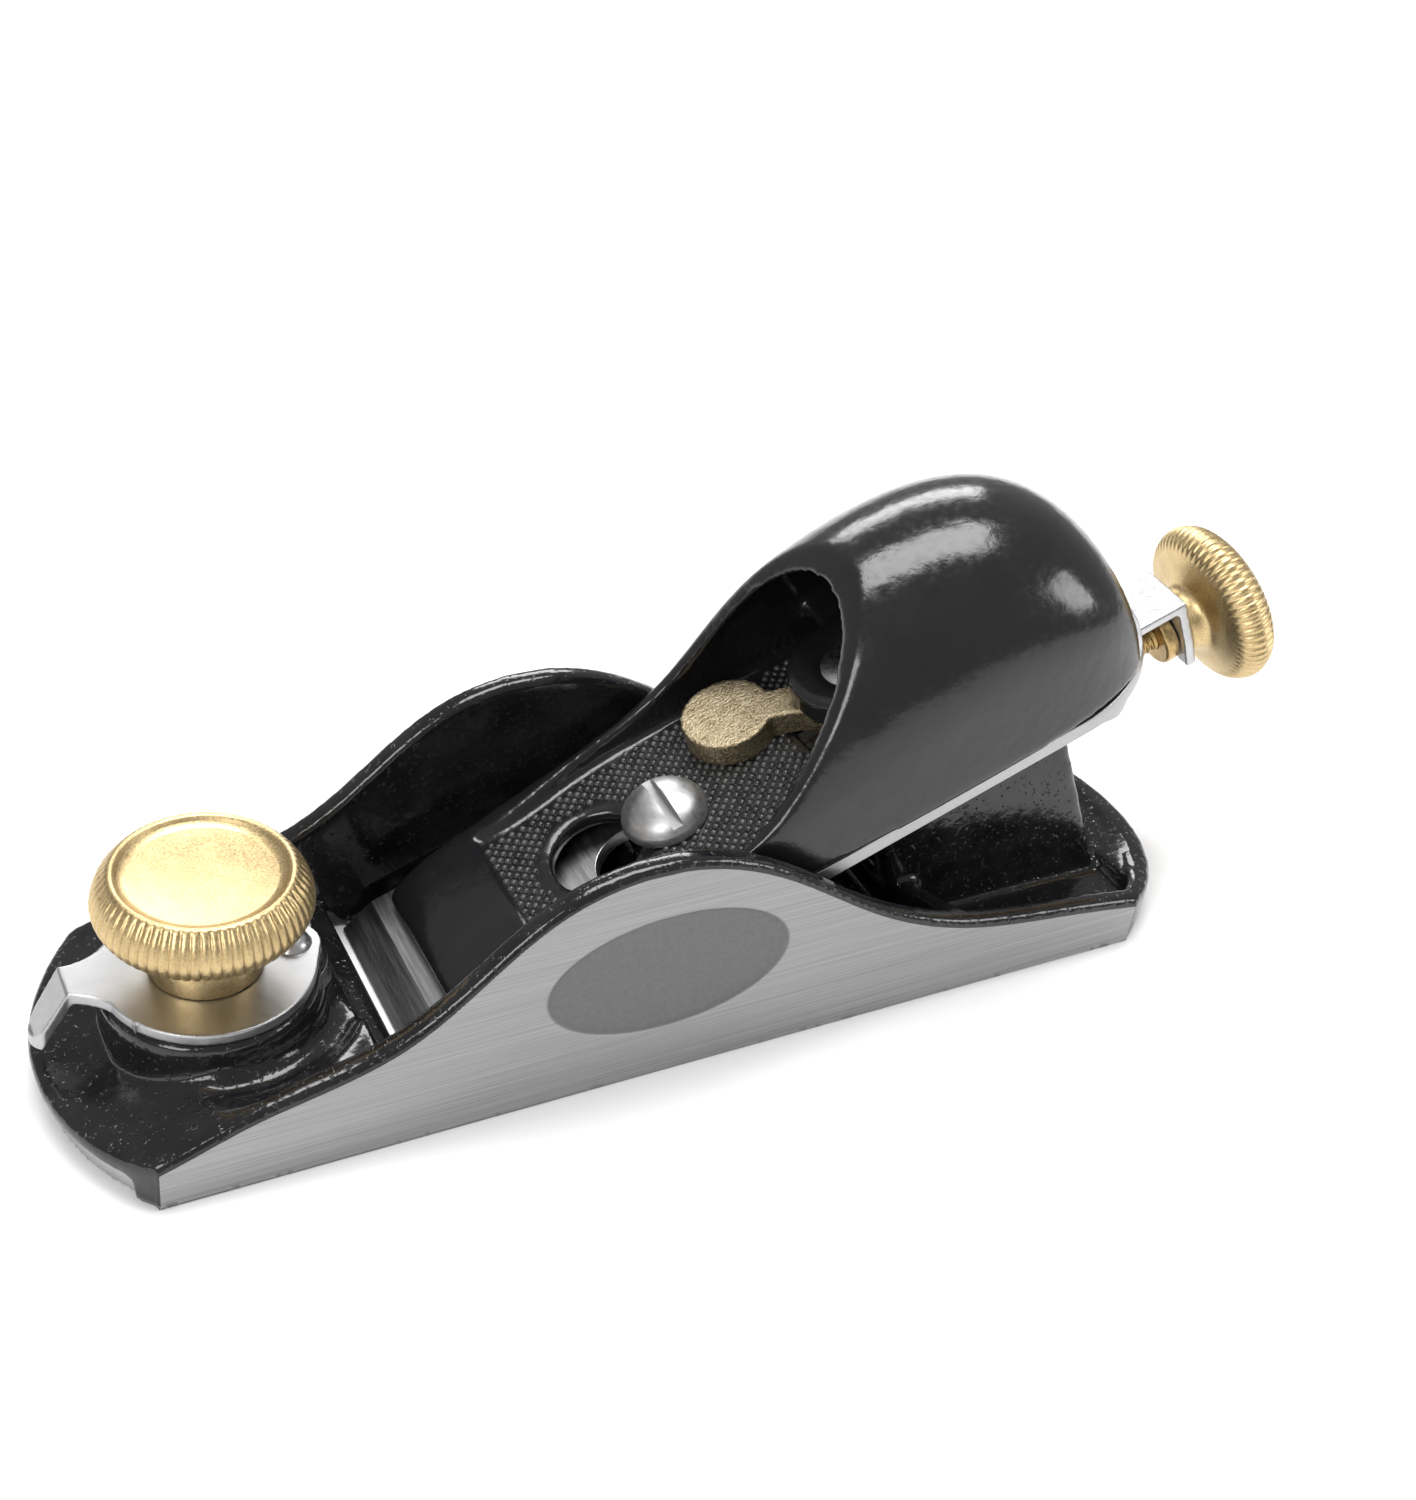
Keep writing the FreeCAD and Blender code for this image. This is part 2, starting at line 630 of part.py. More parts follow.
def cap_screw():
    seat = size("cutter_thick") + GAP + size("cap_panel") + GAP
    body = new_body("cap_screw", on_bed(size("screw_place"), seat))
    head, tall = size("screw_head"), size("screw_crown")
    shank, long = size("screw_radius"), size("screw_long")
    section = new_sketch(body, "XZ_Plane", "ScrewSection")
    trace(section, (0, -long), (shank - 0.7, -long), (shank, -long + 0.7), (shank, 0), (head, 0), (head, 0.5),
          crown(head, 0.5, tall))
    turn(body, section, "Screw")
    slit = new_sketch(body, "XY_Plane", "DriverSlot", lift(tall + 1))
    box(slit, -0.75, -head - 1, 0.75, head + 1)
    pocket(body, slit, "DriverSlotCut", 3.0)
    return body


def lateral_lever():
    body = new_body("lateral_lever", on_bed(0, 0))
    centre = size("screw_place")
    sheet_thick, drop = size("lateral_sheet"), size("lateral_drop")
    half, rear = size("lateral_half"), size("lateral_rear")
    eye = size("eye_outer") + 1.2
    neck = 5.6
    shoulder = centre + 21.0
    wing = 5.0
    outline = new_sketch(body, "XY_Plane", "LateralOutline", lift(-12))
    trace(outline, (centre, -eye), (shoulder - 5, -neck), (shoulder, -half), (rear - wing, -half - 0.4),
          ((rear - 1.6, -half + 1.2), (rear, -half + 4)), (rear, half - 4),
          ((rear - 1.6, half - 1.2), (rear - wing, half + 0.4)), (shoulder, half),
          (shoulder - 5, neck), (centre, eye), ((centre - eye, 0), (centre, -eye)))
    pad(body, outline, "LateralBlock", 12)
    top = new_sketch(body, "XZ_Plane", "LateralTop")
    step = centre + 16.5
    trace(top, (centre - 12, -drop), (step, -drop), (step + 3, -GAP), (rear + 5, -GAP), (rear + 5, 6),
          (centre - 12, 6))
    pocket(body, top, "LateralTopCut", 60, both=True)
    under = new_sketch(body, "XZ_Plane", "LateralUnder")
    low = -drop - sheet_thick
    trace(under, (centre - 12, low), (step + 0.5, low), (step + 3.5, -GAP - sheet_thick),
          (rear + 5, -GAP - sheet_thick), (rear + 5, -13), (centre - 12, -13))
    pocket(body, under, "LateralUnderCut", 2 * half - 2.2, both=True)
    side_under = new_sketch(body, "XZ_Plane", "WingUnder")
    trace(side_under, (centre - 12, low), (step + 0.5, low), (step + 3.5, -GAP - sheet_thick),
          (rear - 15, -GAP - sheet_thick), ((rear - 11, -5.6), (rear - 5.5, -7.6)),
          ((rear - 1.6, -6.2), (rear + 0.2, -GAP - sheet_thick)),
          (rear + 5, -GAP - sheet_thick), (rear + 5, -13), (centre - 12, -13))
    pocket(body, side_under, "WingUnderCut", 60, both=True)
    window = new_sketch(body, "XY_Plane", "WindowOutline", lift(-12))
    box(window, size("window_front"), -size("window_half"), size("window_rear"), size("window_half"))
    pocket(body, window, "Window", 14, back=True)
    hole = new_sketch(body, "XY_Plane", "EyeHole", lift(-12))
    circle(hole, "bush_seat", x=centre)
    pocket(body, hole, "EyeHoleCut", 14, back=True)
    return body


def lateral_bush():
    low = -size("lateral_drop") - size("lateral_sheet")
    body = new_body("lateral_bush", on_bed(size("screw_place"), low))
    bore = size("screw_radius") + size("face_gap") + 0.02
    outer = size("eye_outer")
    thick = size("lateral_sheet")
    section = new_sketch(body, "XZ_Plane", "BushSection")
    tall = thick + size("bush_lift")
    seat = size("bush_seat")
    trace(section, (bore, 0), (seat, 0), (seat, thick), (outer, thick), (outer, thick + 0.7),
          (outer - 0.5, thick + 1.0), (outer - 0.5, tall - 0.5), (outer - 1.0, tall), (bore, tall))
    turn(body, section, "Bush")
    return body


def depth_slide():
    top = -size("lateral_sheet") - 2 * GAP
    body = new_body("depth_slide", on_bed(0, top))
    half, thick = size("slide_half"), size("slide_sheet")
    front, rear = size("slide_front"), size("slide_rear")
    tooth = size("notch_first") + size("cutter_back")
    strip = new_sketch(body, "XY_Plane", "StripOutline")
    trace(strip, (front + 2, -half), (rear, -half), (rear, half), (front + 2, half), (front, half - 2),
          (front, -half + 2))
    pad(body, strip, "Strip", alias="slide_sheet", back=True)
    reach = size("lateral_sheet") + 2 * GAP + size("cutter_thick") - 0.35
    rib = new_sketch(body, "XZ_Plane", "ToothSide")
    slim = size("tooth_thick") / 2
    trace(rib, (tooth - slim - 2.6, -0.2), (tooth + slim + 2.6, -0.2), (tooth + slim + 2.0, 0.7),
          ((tooth + slim + 0.5, 0.95), (tooth + slim, 1.4 - 2 * GAP)), (tooth + slim, reach - 0.4),
          ((tooth, reach), (tooth - slim, reach - 0.4)), (tooth - slim, 1.4 - 2 * GAP),
          ((tooth - slim - 0.5, 0.95), (tooth - slim - 2.0, 0.7)))
    pad(body, rib, "Tooth", 2 * size("tooth_half"), both=True)
    pierce = new_sketch(body, "XZ_Plane", "ToothPierce")
    trace(pierce, (tooth - 1.9, -thick - 0.1), (tooth + 1.9, -thick - 0.1), ((tooth, -0.15), (tooth - 1.9, -thick - 0.1)))
    pocket(body, pierce, "ToothPierceCut", 2 * size("tooth_half") - 0.6, both=True)
    fork = new_sketch(body, "YZ_Plane", "ForkOutline", lift(rear - thick))
    axis = -size("depth_axis") - top
    wide = size("neck_radius") + size("fork_gap")
    trace(fork, (-half, -0.4), (half, -0.4), (half + 0.9, axis + 1), (half + 0.9, axis - 3.4), (wide, axis - 3.4),
          (wide, axis), ((0, axis + wide), (-wide, axis)), (-wide, axis - 3.4), (-half - 0.9, axis - 3.4),
          (-half - 0.9, axis + 1))
    pad(body, fork, "Fork", alias="slide_sheet")
    return body


def depth_screw():
    collar_front = FORK_FRONT - size("fork_gap") - size("collar_thick")
    body = new_body("depth_screw", depth_screw_place(collar_front - size("rod_long")))
    rod = new_sketch(body, "XY_Plane", "RodCircle")
    circle(rod, "rod_radius")
    inside = size("collar_thick") + size("slide_sheet") + 2 * size("fork_gap") + 4.0
    pad(body, rod, "Rod", size("rod_long") + inside)
    return body


def depth_collar():
    body = new_body("depth_collar", depth_screw_place(FORK_FRONT - size("fork_gap") - size("collar_thick")))
    ring = new_sketch(body, "XZ_Plane", "CollarSection")
    low, high, thick = size("rod_radius"), size("collar_radius"), size("collar_thick")
    trace(ring, (low, 0), (high - 0.3, 0), (high, 0.3), (high, thick), (low, thick))
    turn(body, ring, "Collar")
    return body


def depth_knob():
    body = new_body("depth_knob", depth_screw_place(FORK_FRONT - size("fork_gap")))
    neck, head, long = size("neck_radius"), size("depth_knob"), size("depth_knob_long")
    bore = size("rod_radius")
    start = size("slide_sheet") + 2 * size("fork_gap")
    deep = start + 4.0
    section = new_sketch(body, "XZ_Plane", "DepthKnobSection")
    end = start + long
    trace(section, (bore, 0), (neck, 0), (neck, start), (neck + 1.8, start), (neck + 1.9, start + 1.6),
          ((neck + 3.2, start + 3.0), (head - 3.4, start + 3.8)), ((head, start + 6.8), (head - 2.2, start + 10.0)),
          crown(head - 2.2, start + 10.0, end), (0, deep), (bore, deep))
    turn(body, section, "DepthKnob")
    return body


# ---------------------------------------------------------------- lever cap
# Sections of the cap: place along it, half width, side height, crown height.
CAP_SHELL = [
    (0.0, 14.6, 2.3, 2.5),
    (4.0, 15.4, 4.0, 4.6),
    (13.0, 15.7, 5.8, 8.5),
    (30.0, 16.7, 8.0, 16.0),
    (46.0, 17.6, 10.0, 23.5),
    (58.0, 18.2, 11.5, 28.4),
    (70.0, 18.6, 13.0, 31.2),
    (82.0, 18.5, 13.3, 31.6),
    (92.0, 17.8, 12.0, 29.2),
    (99.0, 16.2, 9.5, 24.5),
    (104.0, 13.4, 6.0, 17.0),
]
# The rim seen from the side: along the side walls, then up over the hood.
CAP_RIM = [(-2.0, 2.6), (4.0, 4.2), (13.0, 5.8), (24.0, 6.9), (36.0, 8.2), (44.0, 10.3), (51.0, 14.6), (58.0, 20.6),
           (65.0, 27.0), (72.0, 32.6)]
HOLLOW_FROM = 13.4


def cap_section(body, name, place, half, side, crown, base):
    sketch = new_sketch(body, "YZ_Plane", name, lift(place))
    return trace(sketch, (-half, base), (half, base), (half, side), ((0, crown), (-half, side)))


def lever_cap():
    body = new_body("lever_cap", on_bed(size("cap_front"), size("cutter_thick") + GAP))
    panel, under = size("cap_panel"), size("cap_under")
    shell = [cap_section(body, f"Shell{i}", s, half, side, crown, 0.0)
             for i, (s, half, side, crown) in enumerate(CAP_SHELL)]
    loft(body, shell, "CapShell")
    wall = size("cap_wall")
    rim = new_sketch(body, "XZ_Plane", "CapRimLine")
    curve = Part.BSplineCurve()
    curve.interpolate([Vector(s, c, 0) for s, c in CAP_RIM])
    rim.addGeometry(curve)
    first, last = curve.StartPoint, curve.EndPoint
    for a, b in [(last, Vector(last.x, TALL, 0)), (Vector(last.x, TALL, 0), Vector(first.x, TALL, 0)),
                 (Vector(first.x, TALL, 0), first)]:
        rim.addGeometry(Part.LineSegment(a, b))
    pocket(body, rim, "CapRimCut", 2 * HALF, both=True)
    inner = [(s, half - wall, side - 0.3, crown - wall) for s, half, side, crown in CAP_SHELL[4:9]]
    inner.insert(0, (CAP_SHELL[3][0], CAP_SHELL[3][1] - wall, 10.5, 16.0))
    inner.insert(0, (HOLLOW_FROM, CAP_SHELL[2][1] - wall - 0.4, 10.0, 12.0))
    inner.append((CAP_SHELL[9][0] - 2.4, CAP_SHELL[9][1] - 2 * wall, 7.0, 17.5))
    hollow = [cap_section(body, f"Hollow{i}", s, half, side, crown, panel)
              for i, (s, half, side, crown) in enumerate(inner)]
    loft(body, hollow, "CapHollow", cut=True)

    below = new_sketch(body, "XY_Plane", "UnderOutline")
    near = [(s, half - wall) for s, half, side, crown in CAP_SHELL if 4 <= s <= 100]
    trace(below, (near[0][0] + 2, -near[0][1]), *[(s, -y) for s, y in near[1:]], *[(s, y) for s, y in near[:0:-1]],
          (near[0][0] + 2, near[0][1]))
    pocket(body, below, "UnderCut", under, back=True)

    cam = size("cam_place")
    shelf = new_sketch(body, "XY_Plane", "ShelfOutline", lift(size("shelf_low")))
    reach = 9.0
    trace(shelf, (cam, -reach), (cam + 22, -reach), (cam + 22, reach), (cam, reach), ((cam - reach, 0), (cam, -reach)))
    pad(body, shelf, "Shelf", size("shelf_high") - size("shelf_low"))
    bracket = new_sketch(body, "XY_Plane", "ShelfSides", lift(size("shelf_low")))
    box(bracket, cam + 1, -16.6, cam + 16, 16.6)
    pad(body, bracket, "ShelfBridge", 2.4)

    screw = size("screw_place") - size("cap_front")
    key = new_sketch(body, "XY_Plane", "KeyholeOutline")
    narrow, wide = size("screw_radius") + size("key_slip"), size("key_wide")
    wide_x = screw - size("key_travel")
    meet = math.sqrt(wide ** 2 - narrow ** 2)
    trace(key, (wide_x + meet, -narrow), (screw, -narrow), ((screw + narrow, 0), (screw, narrow)),
          (wide_x + meet, narrow), ((wide_x - wide, 0), (wide_x + meet, -narrow)))
    pocket(body, key, "Keyhole", panel + 1, back=True)
    hole = new_sketch(body, "XY_Plane", "CamHole")
    circle(hole, "cam_hole", x=cam)
    pocket(body, hole, "CamHoleCut", panel + 1, back=True)
    pin = new_sketch(body, "XY_Plane", "CamRivetHole")
    circle(pin, "rivet_shank", x=cam)
    pocket(body, pin, "CamRivetHoleCut", size("shelf_high") + 1, back=True)
    sink = new_sketch(body, "XZ_Plane", "CountersinkSection")
    top = size("shelf_high")
    head, shank = size("rivet_head"), size("rivet_shank")
    trace(sink, (cam, top - 2.4), (cam + shank, top - 2.4), (cam + head, top), (cam + head, top + 1), (cam, top + 1))
    sink.addGeometry(Part.LineSegment(Vector(cam, 0, 0), Vector(cam, 30, 0)), True)
    turn(body, sink, "Countersink", axis="Axis0", cut=True)
    return body


def cap_on_bed(along, high):
    return on_bed(size("cap_front") + along, size("cutter_thick") + GAP + high)


def cam_rivet():
    body = new_body("cam_rivet", cap_on_bed(size("cam_place"), 0))
    section = new_sketch(body, "XZ_Plane", "CamRivetSection")
    shank, head, top = size("rivet_shank"), size("rivet_head") - 0.02, size("shelf_high")
    trace(section, (0, 1.0), (shank, 1.0), (shank, top - 2.4), (head - 0.6, top - 0.64),
          crown(head - 0.6, top - 0.64, top))
    turn(body, section, "CamRivet")
    return body


def cam_lever():
    body = new_body("cam_lever", cap_on_bed(size("cam_place"), 0))
    low = size("cap_panel") + 0.15
    thick = size("cam_thick")
    swing = math.radians(180 - size("cam_swing"))
    barrel = new_sketch(body, "XY_Plane", "BarrelCircle", lift(GAP * 2))
    circle(barrel, "cam_barrel")
    pad(body, barrel, "Barrel", low + thick - 2 * GAP)
    arm = new_sketch(body, "XY_Plane", "ArmOutline",
                     Placement(Vector(0, 0, low), Rotation(Vector(0, 0, 1), 180 - size("cam_swing"))))
    reach, paddle = size("cam_arm"), size("cam_paddle")
    neck, meet = 2.6, math.sqrt(paddle ** 2 - 2.6 ** 2)
    trace(arm, (3.0, -neck - 1.6), (9.0, -neck), (reach - meet, -neck), ((reach + paddle, 0), (reach - meet, neck)),
          (9.0, neck), (3.0, neck + 1.6))
    pad(body, arm, "Arm", alias="cam_thick")
    hole = new_sketch(body, "XY_Plane", "CamBore")
    circle(hole, "rivet_shank", extra="thread_gap")
    pocket(body, hole, "CamBoreCut", 30, back=True)
    return body


# ---------------------------------------------------------------- build, check, export
MAKERS = [base_casting, throat_rivet, throat_lever, toe_plate, toe_stud, toe_stud_weld, front_knob, cutter,
          cap_screw, lateral_lever, lateral_bush, depth_slide, depth_screw, depth_collar, depth_knob, lever_cap,
          cam_rivet, cam_lever]
for maker in MAKERS:
    maker()
doc.recompute()

faults = [f"{o.Name}: {','.join(o.State)}" for o in doc.Objects if {"Invalid", "Error"} & set(o.State)]
for body in bodies:
    shape = body.Shape
    if shape.isNull() or not shape.isValid() or not shape.Solids:
        faults.append(f"{body.Label}: bad shape")
        continue
    print(f"{body.Label}: {len(shape.Solids)} solid(s), {shape.Volume:.0f} mm3")
if faults:
    raise RuntimeError("; ".join(faults))

os.makedirs("parts", exist_ok=True)
for body in bodies:
    body.Shape.exportStep(f"parts/{body.Label}.step")
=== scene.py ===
# %% [markdown]
# # A small adjustable block plane
#
# This file dresses a plane that a CAD program has already drawn to size. The
# CAD pieces are loaded first and never moved. Each piece then keeps its CAD
# mesh with a better finish, or is replaced by a softer cast or threaded copy
# that rides on the same body. Lengths are metres, so MM turns a drawing
# dimension into one of them.

# %% Load the plane
import json
import math

import bpy
import numpy as np
from mathutils import Matrix, Vector
from mathutils.bvhtree import BVHTree


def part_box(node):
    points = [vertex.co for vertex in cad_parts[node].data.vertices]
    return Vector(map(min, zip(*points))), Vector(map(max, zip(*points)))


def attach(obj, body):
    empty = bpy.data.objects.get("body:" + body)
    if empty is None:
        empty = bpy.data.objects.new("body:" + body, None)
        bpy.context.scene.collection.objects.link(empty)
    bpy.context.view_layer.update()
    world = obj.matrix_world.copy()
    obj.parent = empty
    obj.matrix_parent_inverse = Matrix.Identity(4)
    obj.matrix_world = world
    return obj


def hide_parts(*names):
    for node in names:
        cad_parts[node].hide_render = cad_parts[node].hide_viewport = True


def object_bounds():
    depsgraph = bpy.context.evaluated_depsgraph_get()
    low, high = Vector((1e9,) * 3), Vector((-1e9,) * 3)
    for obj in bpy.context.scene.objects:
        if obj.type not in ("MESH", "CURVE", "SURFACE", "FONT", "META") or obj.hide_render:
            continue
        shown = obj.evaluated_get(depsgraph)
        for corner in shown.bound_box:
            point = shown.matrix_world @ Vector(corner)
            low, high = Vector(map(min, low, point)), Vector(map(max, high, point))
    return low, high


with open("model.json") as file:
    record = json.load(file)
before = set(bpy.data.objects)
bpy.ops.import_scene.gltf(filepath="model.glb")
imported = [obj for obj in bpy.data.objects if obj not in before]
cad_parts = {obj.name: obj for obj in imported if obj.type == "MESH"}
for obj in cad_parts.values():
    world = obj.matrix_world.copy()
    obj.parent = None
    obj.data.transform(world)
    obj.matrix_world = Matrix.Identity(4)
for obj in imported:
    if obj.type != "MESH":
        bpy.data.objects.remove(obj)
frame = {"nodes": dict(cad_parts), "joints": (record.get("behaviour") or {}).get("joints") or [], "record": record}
cad_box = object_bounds()
MM = 0.001
nodes = frame["nodes"]
body_of = {n: b for b, members in frame["record"]["behaviour"]["bodies"].items() for n in members}
print(len(nodes), "CAD nodes, box", [round(v / MM, 1) for v in cad_box[1] - cad_box[0]], "mm")

# %% [markdown]
# The cutter lies on a slanted bed. Several pieces are easier to describe along
# that bed, so one matrix turns bed distances (up the bed, across, square to
# the bed) into the plane's own frame. Its slope is the direction in which the
# lever cap slides, and its corner is read from the cutter's lowest edge.

# %% The bed's own frame
joints = {j["name"]: j for j in frame["joints"]}
up_bed = Vector(joints["cap_release"]["axis"])
off_bed = Vector(joints["cap_screw_lift"]["axis"])
cutter_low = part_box("cutter")[0]
BED = Matrix.Identity(4)
for column, axis in enumerate((up_bed, Vector((0, 1, 0)), off_bed)):
    for row in range(3):
        BED[row][column] = axis[row]
EDGE_BEHIND = 0.5  # how far the bed's corner lies below the cutting edge, in millimetres
BED.translation = Vector((cutter_low.x, 0, 0)) - up_bed * EDGE_BEHIND * MM
TO_BED = BED.inverted()
print("bed slope", round(math.degrees(math.atan2(up_bed.z, up_bed.x)), 2), "degrees")

# %% [markdown]
# Materials are sums of noise and masks. Wiring each Math node by hand is slow
# to read, so a small class wraps a socket and lets Python's own operators add
# the nodes. Every other node comes from its one method, node().


# %% Sums on sockets
class Wire:
    """A socket of a material, which can be used in sums like a number."""

    def __init__(self, tree, socket=None):
        self.tree, self.socket = tree, socket

    def node(self, kind, settings=None, inputs=None, out=0):
        made = self.tree.nodes.new(kind)
        for key, value in (settings or {}).items():
            setattr(made, key, value)
        for key, value in (inputs or {}).items():
            if isinstance(value, Wire):
                self.tree.links.new(value.socket, made.inputs[key])
            else:
                made.inputs[key].default_value = value
        return Wire(self.tree, made.outputs[out])

    def math(self, operation, first, second=0.0):
        return self.node("ShaderNodeMath", {"operation": operation}, {0: first, 1: second})

    def __add__(self, other):
        return self.math("ADD", self, other)

    def __rsub__(self, other):
        return self.math("SUBTRACT", other, self)

    def __mul__(self, other):
        return self.math("MULTIPLY", self, other)

    __radd__, __rmul__ = __add__, __mul__

    def held(self):
        """The same value kept between 0 and 1."""
        return self.node("ShaderNodeClamp", None, {0: self})


# %% [markdown]
# Three more helpers cover what every finish needs: noise that may be stretched
# along one direction, a soft step between two values, and a mix of two
# colours. Noise reads object coordinates, which move with the piece.


# %% Noise, steps and mixes
def spot(wire, stretch=(1.0, 1.0, 1.0), turn=(0.0, 0.0, 0.0)):
    """Object coordinates in millimetres, turned and stretched."""
    place = wire.node("ShaderNodeTexCoord", out="Object")
    turned = wire.node("ShaderNodeMapping", None, {"Vector": place, "Rotation": turn})
    return wire.node("ShaderNodeMapping", None, {"Vector": turned, "Scale": [s / MM for s in stretch]})


def noise(wire, grain, detail=3.0, stretch=(1.0, 1.0, 1.0), turn=(0.0, 0.0, 0.0), rough=0.55):
    """Noise with lumps about `grain` millimetres wide, from 0 to 1."""
    return wire.node("ShaderNodeTexNoise", None, {
        "Vector": spot(wire, stretch, turn), "Scale": 1.0 / grain, "Detail": detail, "Roughness": rough})


def soft_step(value, low, high, start=0.0, end=1.0):
    return value.node("ShaderNodeMapRange", {"interpolation_type": "SMOOTHSTEP"}, {
        "Value": value, "From Min": low, "From Max": high, "To Min": start, "To Max": end})


def blend(mask, first, second):
    return mask.node("ShaderNodeMix", {"data_type": "RGBA"}, {0: mask, 6: first, 7: second}, out=2)


def mark(wire, name):
    """A number stored on the mesh's points, read back in the material."""
    return wire.node("ShaderNodeAttribute", {"attribute_name": name}, out="Fac")


def grey(value):
    return (value, value, value * 1.01, 1.0)


# %% A finish from its parts
finishes = {}


def finish(slot, colour, rough, metal, height, depth):
    """Feeds a Principled shader: wires go to sockets, plain numbers are set on them."""
    material = finishes[slot]
    shader = material.node_tree.nodes["Principled BSDF"]
    for key, value in (("Base Color", colour), ("Roughness", rough), ("Metallic", metal)):
        if isinstance(value, Wire):
            value.tree.links.new(value.socket, shader.inputs[key])
        else:
            shader.inputs[key].default_value = value
    reach = {"Strength": 1.0, "Distance": depth * MM, "Height": height}
    height.tree.links.new(height.node("ShaderNodeBump", None, reach).socket, shader.inputs["Normal"])
    print("finish", slot, "has", len(material.node_tree.nodes), "nodes")


def begin(slot):
    material = bpy.data.materials.new(slot)
    material.use_nodes = True
    finishes[slot] = material
    return Wire(material.node_tree)


# %% [markdown]
# The casting is iron, dipped in gloss black enamel and then ground bright on
# its sole and sides. One material does both: marks on the mesh say how far a
# point lies inside the ground faces, so the line between paint and metal is
# as smooth as the casting's edge. The enamel has a slow orange-peel wave and
# small pimples, which break its highlights up into sparks.

# %% Black enamel over ground iron
wire = begin("casting_enamel")
ground = soft_step(mark(wire, "ground"), -0.05, 0.05)
milled = soft_step(mark(wire, "milled"), -0.05, 0.05)
grip = soft_step(mark(wire, "grip"), -0.15, 0.15)
bare = (ground + milled).held()
peel = noise(wire, 5.0, 2.0)
pimples = noise(wire, 0.9, 2.0)
sparks = soft_step(noise(wire, 0.75, 1.0), 0.62, 0.74)
scratch = noise(wire, 1.0, 4.0, (0.02, 1.0, 9.0))
wisps = noise(wire, 1.0, 2.0, (0.05, 1.0, 16.0), (0.0, math.radians(2.5), 0.0))
iron = blend(soft_step(scratch + wisps * 0.6, 0.5, 1.1), grey(0.24), grey(0.37))
iron = blend(grip, iron, blend(noise(wire, 0.5, 4.0), grey(0.13), grey(0.19)))
paint = blend(soft_step(peel, 0.3, 0.7), (0.006, 0.006, 0.007, 1), (0.012, 0.012, 0.013, 1))
finish(
    "casting_enamel",
    colour=blend(bare, paint, iron),
    rough=blend(
        bare,
        blend(sparks, grey(0.13), grey(0.22)),
        blend(grip, blend(scratch, grey(0.30), grey(0.46)), grey(0.6)),
    ),
    metal=bare * (1.0 - grip * 0.35),
    height=(1.0 - bare) * (peel * 0.5 + pimples * 0.09 + sparks * 0.22)
    + bare * (scratch * 0.03 + wisps * 0.03),
    depth=0.3,
)

# %% Black enamel of the lever cap
wire = begin("cap_enamel")
peel = noise(wire, 6.0, 2.0)
pimples = noise(wire, 1.1, 2.0)
grain = noise(wire, 0.5, 3.0)
finish(
    "cap_enamel",
    colour=blend(peel, (0.006, 0.006, 0.007, 1), (0.013, 0.013, 0.014, 1)),
    rough=soft_step(pimples, 0.3, 0.8, 0.14, 0.24),
    metal=0.0,
    height=peel * 0.55 + pimples * 0.12 + grain * 0.03,
    depth=0.25,
)

# %% Rubbed enamel of the chequering
wire = begin("stud_enamel")
rub = noise(wire, 1.5, 3.0)
finish(
    "stud_enamel",
    colour=blend(soft_step(rub, 0.35, 0.65), grey(0.02), grey(0.06)),
    rough=soft_step(rub, 0.3, 0.7, 0.12, 0.22),
    metal=0.0,
    height=rub,
    depth=0.02,
)

# %% [markdown]
# The cutter is ground carbon steel. The wheel leaves fine lines across the
# blade. Its honed bevel, brighter with the lines square to the edge, is not
# given a finish of its own here.

# %% Ground cutter steel
wire = begin("cutter_steel")
lines = noise(wire, 0.5, 4.0, (1.0, 0.05, 1.0), (0.0, math.radians(22), 0.0))
clouds = noise(wire, 14.0, 2.0)
finish(
    "cutter_steel",
    colour=blend(lines * 0.7 + clouds * 0.3, grey(0.30), grey(0.50)),
    rough=soft_step(lines, 0.2, 0.8, 0.30, 0.44),
    metal=1.0,
    height=lines,
    depth=0.03,
)

# %% [markdown]
# Zinc-plated sheet is pale and slightly cloudy. Bright nickel is smoother and
# shows the ripples of the stamped blank. The screws are zinc on turned steel.

# %% Zinc, nickel and screw steel
for slot, low, high, shine, dull, wave in [
    ("zinc_plate", 0.44, 0.60, 0.32, 0.46, 0.4),
    ("nickel_plate", 0.36, 0.50, 0.30, 0.44, 0.5),
    ("screw_steel", 0.40, 0.56, 0.36, 0.50, 0.3),
    ("rivet_steel", 0.46, 0.66, 0.24, 0.36, 0.3),
]:
    wire = begin(slot)
    clouds = noise(wire, 3.0, 3.0)
    specks = noise(wire, 0.25, 3.0)
    streaks = noise(wire, 0.5, 3.0, (0.3, 1.0, 1.0), (0.0, 0.0, 0.7))
    finish(
        slot,
        colour=blend(clouds * 0.6 + streaks * 0.4, grey(low), grey(high)),
        rough=soft_step(specks * 0.5 + streaks * 0.5, 0.3, 0.7, shine, dull),
        metal=1.0,
        height=clouds * wave + specks * 0.10,
        depth=0.05,
    )

# %% [markdown]
# The knobs are turned and lacquered brass with a fine satin, the cam lever is
# a rough sand casting, and the bead that holds the stud is dark from the heat.

